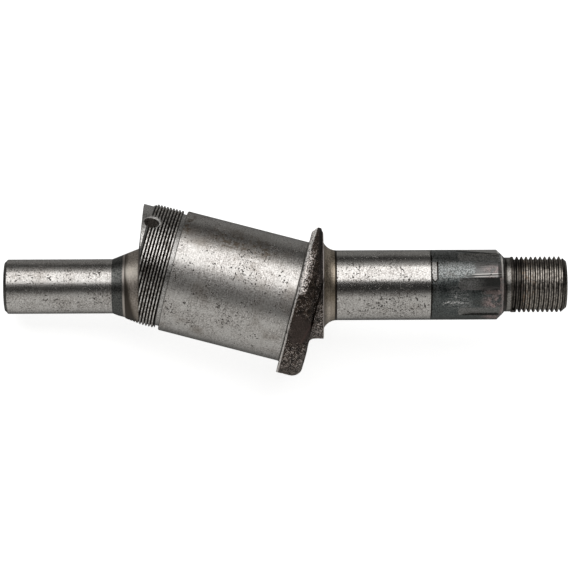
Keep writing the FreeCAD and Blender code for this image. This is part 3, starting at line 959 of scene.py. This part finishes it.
def drive_section():
    """Heat-darkened steel, blue-grey with a reddish end and one patch where the bright steel remains."""
    steel = Finish("drive_section", "spindle", 1.1, 0.7)
    along, height = steel.along, steel.height
    mottle = steel.grain(steel.place, 0.22, 4.0, 0.6)
    rings = steel.drawn(1.5, 0.06, 0.06)
    near = steel.across.below(-12.0, -6.0)
    steel.tone = steel.speckled(colour(0.064, 0.071, 0.07), colour(0.30, 0.315, 0.31), 0.11)
    steel.paint(mottle.band(0.5, 0.7) * 0.5, colour(0.085, 0.075, 0.062))
    # Painted shade on the lower side
    steel.paint(height.below(-9.0, -3.0) * 0.6, colour(0.062, 0.069, 0.067))
    teal = along.between(278.8, 305.0, 2.0) * height.between(-9.0, 2.6, 2.0) * near
    steel.paint(teal * 0.45, colour(0.055, 0.07, 0.068))
    # Painted highlight on the upper side
    lighter = steel.speckled(colour(0.15, 0.155, 0.15), colour(0.45, 0.455, 0.45), 0.08)
    steel.paint(height.band(2.0, 10.0) * 0.35, lighter)
    drive_land(steel, mottle, near)
    drive_wedge(steel)
    drive_start(steel, near)
    scratches = drive_scratches(steel, near)
    pits = steel.grain(steel.place, 0.85, 2.0, 0.6).band(0.68, 0.72)
    steel.paint(pits, SOOT_AND_SHADE)

    # The bevel: less bare metal, with a glint along its end and a dark line behind it
    bevel = along.band(315.7, 316.0)
    glint = along.between(318.3, 319.3, 0.2) * (0.25 + height.between(4.5, 17.0, 2.0) * 0.7)
    steel.paint(glint, colour(1.0, 0.96, 0.9))
    steel.paint(along.band(319.3, 319.6) * 0.85, SOOT_AND_SHADE)
    steel.finish(0.28 + mottle * 0.12 + pits * 0.2,
                 steel.speckle * 0.7 + rings * 0.5 + scratches * 0.6 - pits, 0.04, 1 - bevel * 0.6)


def drive_groove():
    """Milled grooves, darker where they face the camera and underneath."""
    steel = Finish("drive_groove", "spindle", 1.0)
    height = steel.height
    lines = steel.drawn(0.12, 1.6, 1.6)
    steel.tone = steel.speckled(colour(0.22, 0.22, 0.21), colour(0.60, 0.59, 0.57), 0.16)
    steel.paint(lines.band(0.5, 0.7) * 0.5, colour(0.10, 0.09, 0.08))
    shaded = height.between(-12.0, 10.0, 2.0) * (0.45 + steel.along.band(298.0, 310.0) * 0.5)
    underneath = height.below(-14.0, -10.0) * 0.55
    steel.paint(shaded.higher(underneath), colour(0.05, 0.05, 0.047))
    foot = height.between(-6.0, -1.5, 1.2) * steel.across.below(-12.0, -6.0)
    steel.paint(foot * lines.band(0.4, 0.6) * 0.6, colour(0.30, 0.28, 0.27))
    steel.finish(0.32 + steel.speckle * 0.1, steel.speckle * 0.5 + lines * 0.5, 0.05)


def thread_finish(name, frame_name, radius, depth, dirty, bright, evenness):
    """Dirty thread flanks with crests rubbed bright by wear; also gives the crests' tone."""
    steel = Finish(name, frame_name, 1.1, 0.7)
    cloud = steel.grain(steel.place, 0.11, 3.0, 0.6)
    chatter = steel.grain(steel.place, 0.55, 2.0, 0.6)
    rise = steel.radius().band(radius - depth * 0.75, radius - depth * 0.25)
    wear = (steel.speckle * 0.4 + chatter * 0.6).band(0.42, 0.56) * (1 - evenness) + evenness * 0.5
    wear_and_glints = steel.mix(wear, dirty, bright)
    wear_and_glints = steel.mix(cloud.band(0.48, 0.72) * 0.45 * (1 - evenness), wear_and_glints, RUST)
    steel.tone = steel.mix(rise * (0.6 + steel.speckle * 0.9), GRIME, wear_and_glints)
    return steel, wear_and_glints


def head_thread():
    """The head's thread, with the plain relief and neck at its ends."""
    steel, _ = thread_finish("head_thread", "head", HEAD_THREAD_RADIUS, HEAD_THREAD_DEPTH,
                             colour(0.40, 0.37, 0.34), colour(1.0, 0.97, 0.93), 0.0)
    relief = steel.along.below(-60.9, -60.3)
    neck = steel.along.band(-42.2, -41.8)
    steel.paint(relief.higher(neck * 0.8), steel.speckled(colour(0.40, 0.38, 0.36), colour(0.95, 0.93, 0.90)))
    steel.paint(steel.along.between(-42.3, -41.7, 0.15) * 0.8, SOOT_AND_SHADE)
    steel.paint(steel.height.between(12.0, 26.0, 4.0) * 0.2, SOOT_AND_SHADE)
    steel.finish(0.30 + steel.speckle * 0.12, steel.speckle, 0.05)


def end_thread():
    """The end thread and the neck before it; its first turns are dark, and a few are amber."""
    steel, wear_and_glints = thread_finish("end_thread", "spindle", END_THREAD_RADIUS, END_THREAD_DEPTH,
                                colour(0.09, 0.08, 0.07), colour(0.84, 0.77, 0.69), 0.5)
    along, radius = steel.along, steel.radius()
    root_radius = END_THREAD_RADIUS - END_THREAD_DEPTH
    # A painted highlight on the thread's roots, in the crests' tone
    steel.paint(radius.below(root_radius + 0.05, root_radius + 0.25) * 0.9, wear_and_glints)
    neck = steel.speckled(colour(0.20, 0.19, 0.175), colour(0.50, 0.48, 0.45), 0.16)
    steel.paint(along.below(323.9, 324.3), neck)
    steel.paint(along.below(321.6, 322.4) * 0.9, SOOT_AND_SHADE)
    steel.paint(along.between(324.2, 332.5, 0.3) * 0.75, GRIME)
    amber = along.between(331.0, 340.0, 2.0) * steel.grain(steel.place, 0.35, 3.0).band(0.5, 0.65)
    steel.paint(amber * 0.4, colour(0.42, 0.27, 0.16))
    # Painted shade above and below the band that faces the camera
    facing = steel.height.between(-7.0, 2.0, 3.0)
    crest = radius.band(END_THREAD_RADIUS - 0.5, END_THREAD_RADIUS - 0.1)
    steel.paint((1 - facing) * 0.16, SOOT_AND_SHADE)
    steel.finish(0.28 + steel.speckle * 0.12, steel.speckle, 0.05, 1 - facing * crest * 0.6)


def hole_rim():
    """The edge round the hole, bright from wear, with painted shadow inside the hole."""
    steel = Finish("hole_rim", "head", 1.0)
    aside = (steel.along - HOLE_STATION) * (1 / 4.9)
    around = (steel.across * math.sin(HOLE_ANGLE) + steel.height * math.cos(HOLE_ANGLE)) * (1 / 4.3)
    outside = aside * aside + around * around
    steel.tone = steel.mix(steel.speckle.band(0.36, 0.6), colour(0.45, 0.43, 0.41), colour(0.98, 0.95, 0.92))
    steel.paint(outside.band(1.35, 1.6) * 0.75, colour(0.12, 0.11, 0.10))
    # Painted shadow inside the hole
    steel.paint(outside.below(0.95, 1.1), SOOT_AND_SHADE)
    steel.finish(0.40, steel.speckle, 0.04, 0.5)


def hole_wall():
    steel = Finish("hole_wall", "head", 0.9)
    steel.tone = steel.speckled(colour(0.22, 0.20, 0.185), colour(0.55, 0.52, 0.49), 0.16)
    steel.finish(0.5 + steel.speckle * 0.2, steel.speckle, 0.06)


def make_finishes():
    forged_skin()
    forged_edge()
    ground_steel("left_journal", "spindle", 0.24, 0.08, 0.25)
    ground_steel("right_journal", "spindle", 0.19, 0.085, 0.25)
    ground_steel("inclined_journal", "head", 0.26, 0.075, 0.5, head_stains, 0.12)
    cone()
    turned_face()
    fillet_ring()
    drive_section()
    drive_groove()
    head_thread()
    end_thread()
    hole_rim()
    hole_wall()


# Studio

# The picture's scale and width, and the camera's distance in pixels, roll and aim in the shaft's frame

PIXEL = 0.6434
IMAGE_WIDTH = 570
CAMERA_PIXELS = 3000
CAMERA_ROLL = math.radians(0.26)
CAMERA_AIM = Vector((180.0, 0, 0.31))
SENSOR = 36.0
FLOOR_HALF = 3.0

# The softbox, in metres: how far it leans towards the picture's top, its distance, size and brightness
SOFTBOX_LEAN = math.radians(38)
SOFTBOX_REACH = 1.2
SOFTBOX_SIZE = (1.8, 1.05)
SOFTBOX_LIGHT = 1.5

# The room's brightness by the degrees round the shaft: 0 is behind the camera, 90 at the picture's top
ROOM_LEVELS = (
    (-180, 0.06), (-148, 0.12), (-132, 0.35), (-105, 0.5), (-45, 0.55), (-34, 0.35), (-22, 0.05), (-14, 0.01),
    (56, 0.01), (60, 0.7), (70, 0.45), (82, 0.15), (95, 0.02), (104, 0.03), (118, 0.2), (146, 0.2),
    (180, 0.06))


def put_facing(name, data, middle, right, up, back):
    """A camera or a lamp at middle, with its own axes along right, up and back."""
    thing = bpy.data.objects.new(name, data)
    thing.matrix_world = Matrix.Translation(middle) @ Matrix((right, up, back)).transposed().to_4x4()
    bpy.context.scene.collection.objects.link(thing)
    return thing


def make_camera(aim, right, up, back):
    distance = CAMERA_PIXELS * PIXEL
    camera = bpy.data.cameras.new("camera")
    camera.sensor_width = SENSOR
    camera.lens = SENSOR * distance / (IMAGE_WIDTH * PIXEL)
    camera.clip_end = 20
    bpy.context.scene.camera = put_facing("camera", camera, aim + back * distance * MM, right, up, back)


def make_floor():
    mesh = bpy.data.meshes.new("floor")
    corners = [(x * FLOOR_HALF, y * FLOOR_HALF, 0) for x, y in ((-1, -1), (1, -1), (1, 1), (-1, 1))]
    mesh.from_pydata(corners, [], [(0, 1, 2, 3)])
    floor = bpy.data.objects.new("floor", mesh)
    bpy.context.scene.collection.objects.link(floor)
    material = bpy.data.materials.new("paper")
    material.use_nodes = True
    mesh.materials.append(material)
    paper = Tree(material.node_tree)
    fibre = paper.grain(paper.node("ShaderNodeTexCoord", {}, {}, "Object"), 60.0, 2.0)
    white = paper.mix(fibre, colour(0.90, 0.90, 0.90), colour(0.94, 0.94, 0.94))
    sheet = paper.node("ShaderNodeBsdfPrincipled", {}, {
        "Base Color": white, "Roughness": 0.9, "Emission Color": colour(1, 1, 1), "Emission Strength": 0.8})
    output = paper.nodes.new("ShaderNodeOutputMaterial")
    paper.feed(output.inputs[0], sheet)
    floor.visible_glossy = False


def make_softbox(aim, right, up, back):
    away = back * math.cos(SOFTBOX_LEAN) + up * math.sin(SOFTBOX_LEAN)
    light = bpy.data.lights.new("softbox", "AREA")
    light.shape = "RECTANGLE"
    light.size, light.size_y = SOFTBOX_SIZE
    light.energy = SOFTBOX_LIGHT * math.pi * light.size * light.size_y
    put_facing("softbox", light, aim + away * SOFTBOX_REACH, right, away.cross(right), away)


def make_room(right, up, back):
    world = bpy.data.worlds.new("studio")
    world.use_nodes = True
    bpy.context.scene.world = world
    room = Tree(world.node_tree)
    way = room.node("ShaderNodeTexCoord", {}, {}, "Generated")

    def share(axis):
        return room.node("ShaderNodeVectorMath", {"operation": "DOT_PRODUCT"}, {0: way, 1: axis}, "Value")

    around = room.node("ShaderNodeMath", {"operation": "ARCTAN2"}, {0: share(up), 1: share(back)})
    ramp = room.nodes.new("ShaderNodeValToRGB")
    stops = ramp.color_ramp.elements
    while len(stops) < len(ROOM_LEVELS):
        stops.new(0.5)
    for stop, (angle, level) in zip(stops, ROOM_LEVELS):
        stop.position = angle / 360 + 0.5
        stop.color = colour(level, level, level * 0.98)
    room.feed(ramp.inputs[0], around * (0.5 / math.pi) + 0.5)
    sides = 1 - share(right).size().band(0.55, 0.95) * 0.6
    background = room.node("ShaderNodeBackground", {}, {
        "Color": Shade(room, ramp.outputs[0]), "Strength": sides})
    output = room.nodes.new("ShaderNodeOutputWorld")
    room.feed(output.inputs[0], background)


def make_studio():
    aim = SHAFT @ CAMERA_AIM
    turn = SHAFT.to_3x3().normalized()
    right = turn @ Vector((math.cos(CAMERA_ROLL), 0, -math.sin(CAMERA_ROLL)))
    up = turn @ Vector((math.sin(CAMERA_ROLL), 0, math.cos(CAMERA_ROLL)))
    back = turn @ Vector((0, -1, 0))
    make_camera(aim, right, up, back)
    make_floor()
    make_softbox(aim, right, up, back)
    make_room(right, up, back)
    bpy.context.scene.view_settings.view_transform = "Standard"


make_finishes()
shaft = machined_shaft()
join_seams(shaft)
smooth_by_angle(shaft)
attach(shaft, "root")
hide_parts("eccentric_shaft")
make_studio()
